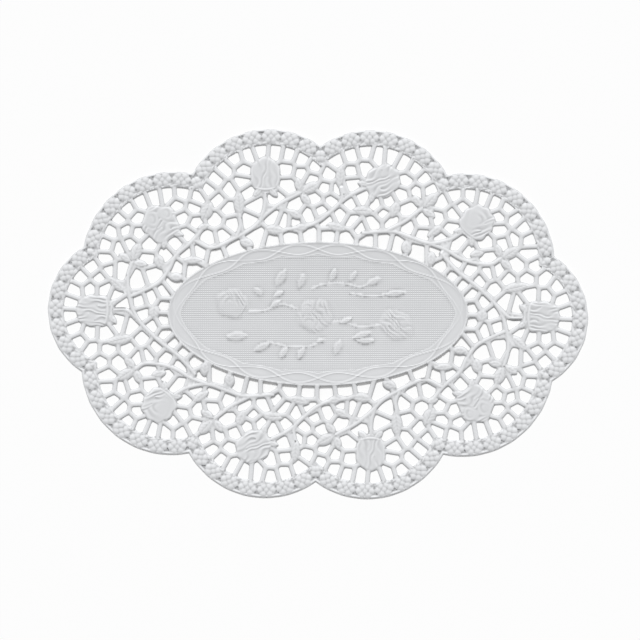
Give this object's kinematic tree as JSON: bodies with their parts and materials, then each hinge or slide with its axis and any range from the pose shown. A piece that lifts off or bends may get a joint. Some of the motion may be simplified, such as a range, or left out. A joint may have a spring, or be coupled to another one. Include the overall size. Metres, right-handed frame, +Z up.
{
  "type": "oval paper doily",
  "caption": "Flat oval doily of pressed paper with a scalloped beaded edge, a lace-like cut ring of roses and leaves, and a plain oval middle.",
  "frame": {"origin": "middle of the underside, on the surface that the doily lies on", "axes": "+X along the long axis of the oval, +Y along its short axis, +Z up through the pressed face"},
  "size_m": [0.265, 0.1812, 0.0018],
  "materials": {
    "paper": "matte, uncoated, embossed"
  },
  "bodies": {
    "root": {"doily": "paper"}
  },
  "joints": []
}
